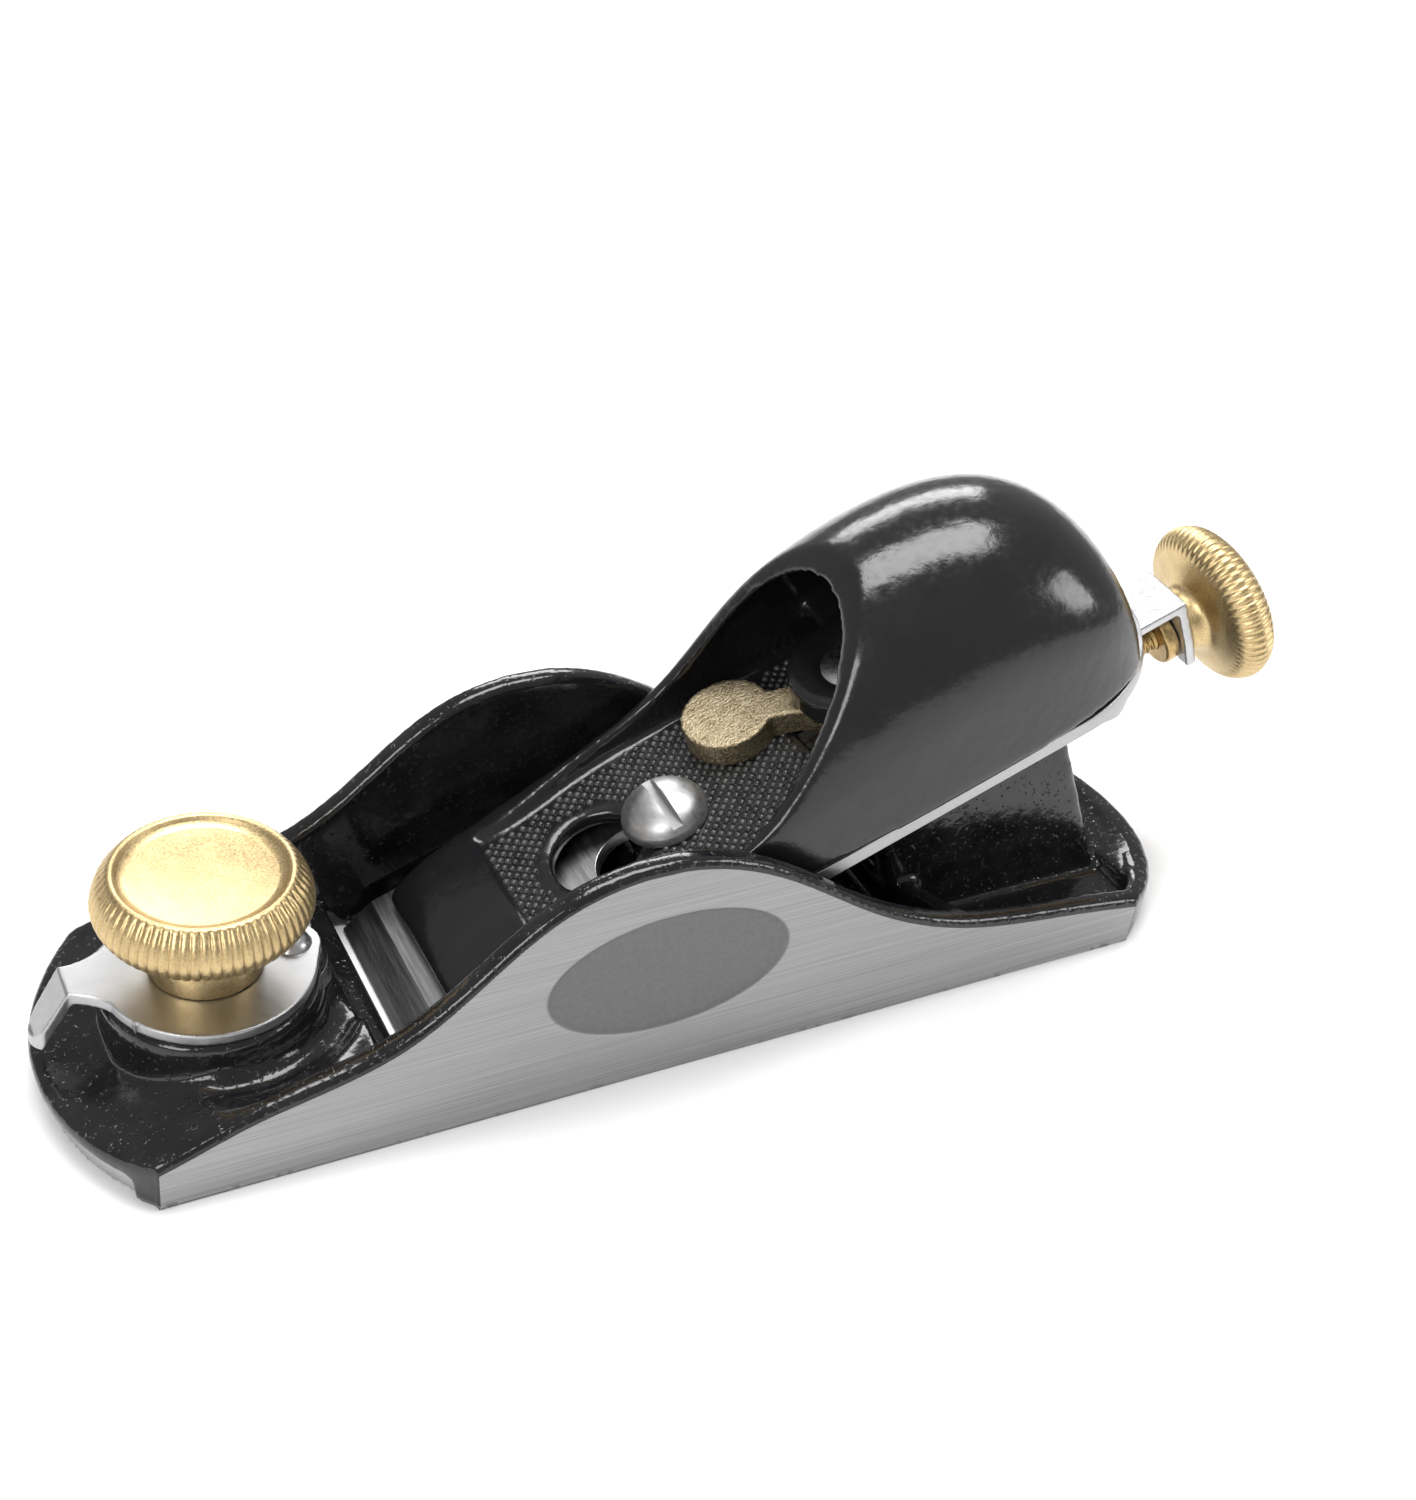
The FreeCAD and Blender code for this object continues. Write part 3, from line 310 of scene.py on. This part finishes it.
# %% Brass, bronze and weld
for slot, pale, deep, shine, dull in [
    ("knob_brass", (0.64, 0.49, 0.26, 1), (0.49, 0.36, 0.18, 1), 0.32, 0.44),
    ("thread_brass", (0.60, 0.43, 0.20, 1), (0.40, 0.27, 0.11, 1), 0.28, 0.40),
]:
    wire = begin(slot)
    clouds = noise(wire, 2.5, 3.0)
    specks = noise(wire, 0.3, 3.0)
    finish(
        slot,
        colour=blend(soft_step(clouds * 0.35 + specks * 0.65, 0.36, 0.62), deep, pale),
        rough=soft_step(specks, 0.3, 0.7, shine, dull),
        metal=1.0,
        height=specks * 0.7 + clouds * 0.3,
        depth=0.045,
    )
wire = begin("cam_bronze")
sand = noise(wire, 0.35, 4.0)
clouds = noise(wire, 2.0, 3.0)
finish(
    "cam_bronze",
    colour=blend(soft_step(sand + clouds * 0.5, 0.5, 1.0), (0.30, 0.23, 0.13, 1), (0.66, 0.56, 0.38, 1)),
    rough=soft_step(sand, 0.3, 0.7, 0.30, 0.52),
    metal=1.0,
    height=sand,
    depth=0.25,
)
wire = begin("weld_bead")
soot = noise(wire, 1.2, 4.0)
finish(
    "weld_bead",
    colour=blend(soft_step(soot, 0.35, 0.65), (0.05, 0.045, 0.04, 1), (0.28, 0.26, 0.24, 1)),
    rough=soft_step(soot, 0.3, 0.7, 0.25, 0.5),
    metal=1.0,
    height=soot,
    depth=0.15,
)

# %% [markdown]
# Most pieces start as a copy of their CAD mesh. A voxel remesh gives it even
# faces and a few passes of smoothing round every edge and inner corner, which
# is what a casting or a stamped sheet looks like. The copy rides on the same
# body and stands for the CAD node.


# %% Copies with softened edges
def adopt(piece, node, slot):
    piece.data.materials.clear()
    piece.data.materials.append(finishes[slot])
    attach(piece, body_of[node])
    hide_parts(node)
    print(f"{piece.name}: {len(piece.data.polygons)} faces, stands for {node}")
    return piece


def new_piece(name, verts, faces, smooth=True):
    mesh = bpy.data.meshes.new(name)
    mesh.from_pydata([tuple(v) for v in verts], [], faces)
    mesh.validate()
    mesh.polygons.foreach_set("use_smooth", [smooth] * len(mesh.polygons))
    piece = bpy.data.objects.new(name, mesh)
    bpy.context.scene.collection.objects.link(piece)
    return piece


def baked(piece):
    """The piece with its modifiers applied to its mesh."""
    ready = bpy.data.meshes.new_from_object(piece.evaluated_get(bpy.context.evaluated_depsgraph_get()))
    piece.modifiers.clear()
    piece.data = ready
    ready.polygons.foreach_set("use_smooth", [True] * len(ready.polygons))
    return piece


def softened(name, node, voxel, passes, most=190000):
    """A copy of a CAD node with even faces and rounded edges; voxel is in millimetres, most in triangles."""
    piece = bpy.data.objects.new(name, nodes[node].data.copy())
    bpy.context.scene.collection.objects.link(piece)
    weld = piece.modifiers.new("Weld", "WELD")
    weld.merge_threshold = 0.001 * MM
    even = piece.modifiers.new("Even", "REMESH")
    even.mode, even.voxel_size, even.adaptivity = "VOXEL", voxel * MM, 0.0
    relax = piece.modifiers.new("Relax", "SMOOTH")
    relax.factor, relax.iterations = 0.5, passes
    baked(piece)
    triangles = sum(len(p.vertices) - 2 for p in piece.data.polygons)
    if triangles > most:
        thin = piece.modifiers.new("Thin", "DECIMATE")
        thin.ratio = most / triangles
        baked(piece)
    return piece


def points_of(piece):
    """The points of a mesh as an array in millimetres."""
    flat = np.zeros(len(piece.data.vertices) * 3)
    piece.data.vertices.foreach_get("co", flat)
    return flat.reshape(-1, 3) / MM


def set_points(piece, points):
    piece.data.vertices.foreach_set("co", (points * MM).ravel())
    piece.data.update()


def store(piece, name, values):
    layer = piece.data.attributes.new(name, "FLOAT", "POINT")
    layer.data.foreach_set("value", np.asarray(values, np.float32))


# %% [markdown]
# The casting is ground after painting: its sole and sides are dead flat and
# meet at a crisp edge, while the painted rim above stays round. So after the
# softening, points near those planes are pushed back on to them, up to a line
# a little below the rim, and the marks for the material are worked out from
# the same lines.

# %% The base casting
half_width = (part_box("base_casting")[1] / MM).y
casting = softened("casting", "base_casting", 0.45, 30)
GRIP_X, GRIP_Z, GRIP_LONG, GRIP_TALL = -5.0, 17.6, 17.0, 9.4
GRIP_SLOPE, GRIP_SUNK = 0.5, 0.45
NEAR_SIDE, NEAR_SOLE = 0.9, 0.5


def in_grip(points):
    """One in the middle of the finger recess, nought at its edge and below that outside."""
    return 1.0 - np.hypot((points[:, 0] - GRIP_X) / GRIP_LONG, (points[:, 2] - GRIP_Z) / GRIP_TALL)


cad = points_of(nodes["base_casting"])
flank = cad[(np.abs(cad[:, 1] - half_width) < 0.02) & (cad[:, 2] > 1.0) & (in_grip(cad) < -0.08)]
flank = flank[np.argsort(flank[:, 0])]
spots = points_of(casting)
rim = np.interp(spots[:, 0], flank[:, 0], flank[:, 2])
toe_x, heel_x = flank[0, 0], flank[-1, 0]
PAINT_RIM = 1.35
below_rim = rim - PAINT_RIM - spots[:, 2]
inside = np.minimum(spots[:, 0] - toe_x, heel_x - spots[:, 0])
side = np.abs(spots[:, 1]) - half_width
oval = in_grip(spots)
flat = (side > -NEAR_SIDE) & (below_rim > -0.4) & (inside > -0.3)
sunk = np.clip(oval * GRIP_TALL / GRIP_SLOPE, 0, 1) * GRIP_SUNK
spots[flat, 1] = np.sign(spots[flat, 1]) * (half_width - sunk[flat])
spots[spots[:, 2] < NEAR_SOLE, 2] = 0.0
set_points(casting, spots)
on_side = np.minimum(np.minimum(below_rim, inside), np.where(flat, 1.0, side))
on_sole = np.where(spots[:, 2] < 0.01, 1.0, -spots[:, 2])
store(casting, "ground", np.maximum(on_side, on_sole))
print("ground side runs from", round(toe_x, 1), "to", round(heel_x, 1), "mm")

# %% Machined faces and the finger recess
bed_spots = np.array([TO_BED @ Vector(p * MM) for p in spots]) / MM
up, across, off = bed_spots.T
on_tower = (up > 75) & (up < 100) & (np.abs(across) < 6.0)
tower_top = np.max(off[on_tower])
FACE_DEEP = 0.35
top_face = np.minimum.reduce([off - tower_top + FACE_DEEP, up - 60, 8.5 - np.abs(across)])
ramp_face = np.minimum.reduce([18.8 - np.abs(across), 12.6 - up, up + 1.5, FACE_DEEP - np.abs(off)])
store(casting, "milled", np.maximum(top_face, ramp_face))
store(casting, "grip", oval * GRIP_TALL)
adopt(casting, "base_casting", "casting_enamel")

# %% [markdown]
# The lever cap is a thin casting with a sunken panel, and its hood fills the
# palm. The cutting of its mouth leaves faint flats in the CAD surface, so this
# copy is relaxed a little more. The panel is chequered with low studs so that
# a thumb doesn't slip. They stand in staggered rows, clear of a smooth border
# round the keyhole and the cam hole, and each one is dropped on to the panel.

# %% The lever cap
cap = softened("cap_shell", "lever_cap", 0.36, 48)
adopt(cap, "lever_cap", "cap_enamel")
cap_tree = BVHTree.FromPolygons([v.co for v in cap.data.vertices], [p.vertices for p in cap.data.polygons])
CAP_FRONT = min((TO_BED @ v.co).x for v in nodes["lever_cap"].data.vertices) / MM
screw_us = [(TO_BED @ v.co).x for v in nodes["cap_screw"].data.vertices]
screw_u = sum(screw_us) / len(screw_us) / MM
cam_u = (TO_BED @ Vector(joints["cam_swing"]["pos_m"])).x / MM
print("cap front", round(CAP_FRONT, 1), "screw", round(screw_u, 1), "cam", round(cam_u, 1), "mm up the bed")


def dropped(u, y, high=30.0):
    """Where a line square to the bed first meets the cap, as a height off the bed."""
    hit = cap_tree.ray_cast(BED @ Vector((u * MM, y * MM, high * MM)), -off_bed)[0]
    return None if hit is None else (TO_BED @ hit).z / MM


# %% Chequered panel
PITCH, STUD = 1.6, 0.6
DOME, STUD_TOP = ((1.0, -0.08), (0.86, 0.18), (0.5, 0.36)), 0.42
KEY_NARROW, KEY_WIDE, KEY_TRAVEL, CAM_HOLE = 3.8, 6.7, 10.0, 9.6
PANEL_START, PANEL_END, PANEL_HIGH = CAP_FRONT + 14.4, cam_u - 9.0, 7.5


def clear_of_holes(u, y):
    keyhole = min(math.hypot(u - screw_u, y) - KEY_NARROW, math.hypot(u - screw_u + KEY_TRAVEL, y) - KEY_WIDE)
    return keyhole > 2.0 and math.hypot(u - cam_u, y) - CAM_HOLE > 1.1


verts, faces = [], []
for i in range(int((PANEL_END - PANEL_START) / (PITCH / 2)) + 12):
    u = PANEL_START + i * PITCH / 2
    for k in range(-13, 14):
        y = (k + 0.5 * (i % 2)) * PITCH
        edges = [dropped(u + a, y + b, 12.0) for a, b in ((0, 0), (0.9, 0), (-0.6, 0), (0, 0.9), (0, -0.9))]
        if not clear_of_holes(u, y) or None in edges or max(abs(e - PANEL_HIGH) for e in edges) > 0.3:
            continue
        first = len(verts)
        for share, height in DOME:
            for corner in range(8):
                angle = corner * math.pi / 4
                reach = share * STUD * (1.0 if corner % 2 == 0 else 0.86)
                around = (u + reach * math.cos(angle), y + reach * math.sin(angle), edges[0] + height)
                verts.append(BED @ (Vector(around) * MM))
        verts.append(BED @ (Vector((u, y, edges[0] + STUD_TOP)) * MM))
        for corner in range(8):
            n = (corner + 1) % 8
            for ring in (first, first + 8):
                faces.append((ring + corner, ring + n, ring + 8 + n, ring + 8 + corner))
            faces.append((first + 16 + corner, first + 16 + n, first + 24))
studs = new_piece("cap_studs", verts, faces)
studs.data.materials.append(finishes["stud_enamel"])
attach(studs, body_of["lever_cap"])
print(len(faces) // 24, "studs on the panel")

# %% Small plates and castings
for name, node, voxel, passes, slot in [
    ("throat_plate", "throat_lever", 0.2, 2, "nickel_plate"),
    ("lateral_plate", "lateral_lever", 0.25, 3, "nickel_plate"),
    ("depth_strip", "depth_slide", 0.25, 2, "zinc_plate"),
    ("cam_arm", "cam_lever", 0.3, 3, "cam_bronze"),
    ("stud_bead", "toe_stud_weld", 0.2, 2, "weld_bead"),
    ("toe_sheet", "toe_plate", 0.4, 1, "zinc_plate"),
]:
    adopt(softened(name, node, voxel, passes), node, slot)


# %% [markdown]
# Round pieces are turned from a profile, like on a lathe: each profile point
# is a radius and a height, and it is swept round the axis. A ripple takes a
# little off the radius as the angle goes round, for the grooved rim of a knob,
# and a thread does the same along a screw line.


# %% Turned pieces
def bend_through(points, per=6):
    """A smooth line through profile points (Catmull-Rom)."""
    line = []
    for i in range(len(points) - 1):
        near = [min(max(k, 0), len(points) - 1) for k in (i - 1, i, i + 1, i + 2)]
        a, b, c, d = (np.array(points[k], float) for k in near)
        for t in np.linspace(0, 1, per, endpoint=False):
            square, cube = 2 * a - 5 * b + 4 * c - d, 3 * b - a - 3 * c + d
            line.append(0.5 * (2 * b + (c - a) * t + square * t ** 2 + cube * t ** 3))
    return line + [np.array(points[-1], float)]


def turned(name, profile, place, steps=96, ripple=None):
    """Sweeps (radius, height) pairs round the local Z of `place`; a radius of 0 closes an end."""
    verts, faces, rings = [], [], []
    for k, (radius, height) in enumerate(profile):
        if radius < 1e-6:
            rings.append([len(verts)])
            verts.append(place @ Vector((0, 0, height * MM)))
            continue
        ring = []
        for j in range(steps):
            angle = 2 * math.pi * j / steps
            r = radius - (ripple(radius, height, angle) if ripple else 0.0)
            ring.append(len(verts))
            verts.append(place @ Vector((r * math.cos(angle) * MM, r * math.sin(angle) * MM, height * MM)))
        rings.append(ring)
    for low, high in zip(rings, rings[1:]):
        for j in range(steps):
            n = (j + 1) % steps
            quad = [low[j % len(low)], low[n % len(low)], high[n % len(high)], high[j % len(high)]]
            quad = list(dict.fromkeys(quad))
            if len(quad) > 2:
                faces.append(quad)
    return new_piece(name, verts, faces)


def screw_thread(pitch, deep, low, high):
    """A ripple that cuts a screw thread of that pitch between two heights."""
    def ripple(radius, height, angle):
        phase = (height / pitch - angle / (2 * math.pi)) % 1.0
        fade = min(1.0, max(0.0, min(height - low, high - height) / pitch))
        return deep * fade * (0.5 + 0.5 * math.cos(2 * math.pi * phase))
    return ripple


def upright(node):
    """The matrix of a piece's own axis, from the middle of its CAD box."""
    low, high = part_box(node)
    return Matrix.Translation(Vector(((low.x + high.x) / 2, 0, low.z)))


# %% The front knob
low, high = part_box("front_knob")
head = (high.x - low.x) / 2 / MM
tall = (high.z - low.z) / MM
RIM_GROOVES = 64
profile = [(3.4, 0), (3.4, 0.02)] + [(7.0, 0.0), (7.1, 0.2), (6.9, 2.5), (6.9, 5.0)]
profile += bend_through([
    (7.0, 5.4), (7.9, 6.6), (9.6, 7.0), (head - 2.2, 7.1), (head - 0.7, 8.3), (head, 10.2), (head - 0.6, 12.4),
    (head - 1.6, 13.9), (head - 2.2, tall - 0.1), (head - 2.8, tall - 0.02), (head - 3.4, tall - 0.5)], 8)
profile += bend_through([(head - 4.2, tall - 0.9), (7.0, tall - 1.2), (4.0, tall - 1.45), (0, tall - 1.55)], 8)


def knurl(radius, height, angle):
    """Fine upright grooves round the widest part of the head."""
    reach = min(1.0, max(0.0, (radius - (head - 2.4)) / 1.0)) * (height > 6)
    return 0.42 * reach * max(0.0, math.cos(RIM_GROOVES * angle)) ** 2


knob = turned("front_grip", profile, upright("front_knob"), RIM_GROOVES * 6, knurl)
adopt(knob, "front_knob", "knob_brass")

# %% The threaded rods
low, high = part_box("toe_stud")
tall = (high.z - low.z) / MM
steps = np.arange(0.6, tall - 0.6, 0.13)
profile = [(0, 0), (3.1, 0)] + [(3.175, h) for h in steps] + [(2.6, tall), (0, tall)]
stud = turned("toe_thread", profile, upright("toe_stud"), 48, screw_thread(1.0, 0.42, 2.5, tall))
adopt(stud, "toe_stud", "screw_steel")

depth_axis = Vector(joints["depth_turn"]["pos_m"])
rod_spots = [up_bed.dot(v.co - depth_axis) for v in nodes["depth_screw"].data.vertices]
along = BED.to_3x3().to_4x4() @ Matrix.Rotation(math.pi / 2, 4, "Y")
along.translation = depth_axis + up_bed * min(rod_spots)
tall = (max(rod_spots) - min(rod_spots)) / MM
steps = np.arange(0.5, tall, 0.1)
profile = [(0, 0), (1.6, 0)] + [(2.0, h) for h in steps] + [(2.0, tall), (0, tall)]
rod = turned("depth_thread", profile, along, 40, screw_thread(0.8, 0.34, 0.2, 33.0))
adopt(rod, "depth_screw", "thread_brass")

# %% The depth knob
knob_spots = [up_bed.dot(v.co - depth_axis) / MM for v in nodes["depth_knob"].data.vertices]
start, tall = min(knob_spots), max(knob_spots) - min(knob_spots)
place = along.copy()
place.translation = depth_axis + up_bed * start * MM
arms = [v.co - depth_axis for v in nodes["depth_knob"].data.vertices]
wide = max((arm - up_bed * up_bed.dot(arm)).length for arm in arms) / MM
profile = [(2.05, 0), (3.0, 0), (3.0, 1.8), (4.7, 1.95)]
profile += bend_through([
    (4.8, 3.2), (5.6, 4.8), (wide - 3.6, 5.6), (wide - 1.1, 6.6), (wide, 8.8), (wide - 0.7, 11.0),
    (wide - 2.2, 12.2)], 9)
profile += bend_through([(wide - 2.7, 12.4), (7.0, tall - 1.0), (4.0, tall - 0.3), (0, tall)], 8)


def knurl_back(radius, height, angle):
    reach = min(1.0, max(0.0, (radius - (wide - 2.6)) / 1.2)) * (height > 5)
    return 0.42 * reach * max(0.0, math.cos(60 * angle)) ** 2


adopt(turned("depth_grip", profile, place, 360, knurl_back), "depth_knob", "knob_brass")

# %% The cap screw
screw_low = min((TO_BED @ v.co).z for v in nodes["cap_screw"].data.vertices) / MM
screw_high = max((TO_BED @ v.co).z for v in nodes["cap_screw"].data.vertices) / MM
place = BED @ Matrix.Translation(Vector((screw_u, 0, screw_low)) * MM)
long = screw_high - screw_low - 4.0
steps = np.arange(0.6, long - 0.1, 0.13)
profile = [(0, 0), (2.6, 0)] + [(3.175, h) for h in steps]
profile += [(3.175, long), (5.7, long), (6.0, long + 0.2), (6.0, long + 0.5)]
crown = [(5.75, 1.2), (4.7, 2.5), (3.0, 3.5), (1.4, 3.92), (0, 4.0)]
profile += bend_through([(radius, long + height) for radius, height in crown], 6)
screw = turned("cap_bolt", profile, place, 64, screw_thread(1.0, 0.4, 0.2, long))
corners = [(x * MM, y * MM, (long + z) * MM) for x in (-0.75, 0.75) for y in (-8, 8) for z in (2.0, 6.0)]
sides = [(0, 1, 3, 2), (4, 6, 7, 5), (0, 4, 5, 1), (2, 3, 7, 6), (0, 2, 6, 4), (1, 5, 7, 3)]
slit = new_piece("slit", [place @ Vector(c) for c in corners], sides, False)
cut = screw.modifiers.new("Slit", "BOOLEAN")
cut.operation, cut.object, cut.solver = "DIFFERENCE", slit, "EXACT"
baked(screw)
screw.data.set_sharp_from_angle(angle=math.radians(38))
bpy.data.objects.remove(slit)
adopt(screw, "cap_screw", "screw_steel")

# %% [markdown]
# The pieces whose CAD shape is already right keep it, and only their finish is
# new. A narrow bevel breaks the sharp edges of the cutter and the collar.

# %% Pieces that keep their CAD mesh
for node, slot, edge in [
    ("cutter", "cutter_steel", 0.12),
    ("throat_rivet", "rivet_steel", 0.0),
    ("cam_rivet", "rivet_steel", 0.0),
    ("lateral_bush", "nickel_plate", 0.0),
    ("depth_collar", "thread_brass", 0.15),
]:
    piece = nodes[node]
    piece.data.materials.clear()
    piece.data.materials.append(finishes[slot])
    if edge:
        weld = piece.modifiers.new("Weld", "WELD")
        weld.merge_threshold = 0.001 * MM
        broken = piece.modifiers.new("Edges", "BEVEL")
        broken.width, broken.segments = edge * MM, 2
        broken.limit_method, broken.angle_limit = "ANGLE", math.radians(40)
    print(node, "keeps its mesh and takes", slot)

# %% [markdown]
# The set is a pale floor and soft boxes. Gloss black shows only what it
# reflects, so a long overhead box draws the bright lines along the rims, and
# two smaller ones give the sparks.

# %% Floor and lights
FLOOR_HALF, FLOOR_Z = 4, -0.0001
square = [(x * FLOOR_HALF, y * FLOOR_HALF, FLOOR_Z) for x, y in ((-1, -1), (1, -1), (1, 1), (-1, 1))]
floor = new_piece("floor", square, [(0, 1, 2, 3)], False)
floor_paint = bpy.data.materials.new("floor_paint")
floor_paint.use_nodes = True
floor_shader = floor_paint.node_tree.nodes["Principled BSDF"]
floor_shader.inputs["Base Color"].default_value = (0.86, 0.86, 0.86, 1)
floor_shader.inputs["Roughness"].default_value = 0.9
floor_shader.inputs["Specular IOR Level"].default_value = 0.1
floor.data.materials.append(floor_paint)


def soft_box(name, spot, size, power):
    """An area light aimed at the plane."""
    lamp = bpy.data.lights.new(name, "AREA")
    lamp.shape, lamp.size, lamp.size_y, lamp.energy = "RECTANGLE", size[0], size[1], power
    thing = bpy.data.objects.new(name, lamp)
    thing.location = spot
    thing.rotation_mode = "QUATERNION"
    thing.rotation_quaternion = (Vector((0, 0, 0.02)) - Vector(spot)).to_track_quat("-Z", "Y")
    bpy.context.scene.collection.objects.link(thing)
    return thing


soft_box("overhead", (0.05, 0.15, 0.9), (0.7, 0.4), 9.0)
soft_box("left_box", (-0.7, -0.5, 0.55), (0.4, 0.5), 5.0)
soft_box("back_box", (0.3, 0.8, 0.5), (0.6, 0.25), 4.0)
soft_box("right_box", (0.75, -0.45, 0.4), (0.3, 0.4), 2.5)
world = bpy.data.worlds.new("studio")
world.use_nodes = True
world.node_tree.nodes["Background"].inputs[0].default_value = (1, 1, 1, 1)
world.node_tree.nodes["Background"].inputs[1].default_value = 0.38
bpy.context.scene.world = world
bpy.context.scene.view_settings.view_transform = "Standard"

# %% [markdown]
# The camera looks down from the toe end and is rolled a little, so that the
# plane climbs across the picture.

# %% The camera
AZIMUTH, ELEVATION, ROLL = (math.radians(a) for a in (-31.6, 35.8, 8.07))
away = math.cos(ELEVATION)
back = Vector((math.sin(AZIMUTH) * away, -math.cos(AZIMUTH) * away, math.sin(ELEVATION)))
level = Vector((math.cos(AZIMUTH), math.sin(AZIMUTH), 0))
rise = back.cross(level)
across = level * math.cos(ROLL) + rise * math.sin(ROLL)
above = rise * math.cos(ROLL) - level * math.sin(ROLL)
camera = bpy.data.objects.new("camera", bpy.data.cameras.new("camera"))
camera.data.lens, camera.data.sensor_width = 49.17, 36.0
camera.data.clip_start, camera.data.clip_end = 0.01, 20.0
middle = (cad_box[0] + cad_box[1]) / 2
pose = Matrix((across, above, back)).transposed().to_4x4()
pose.translation = middle + back * 0.27
camera.matrix_world = pose
bpy.context.scene.collection.objects.link(camera)
bpy.context.scene.camera = camera
print("camera stands", round((camera.location - middle).length / MM), "mm away")
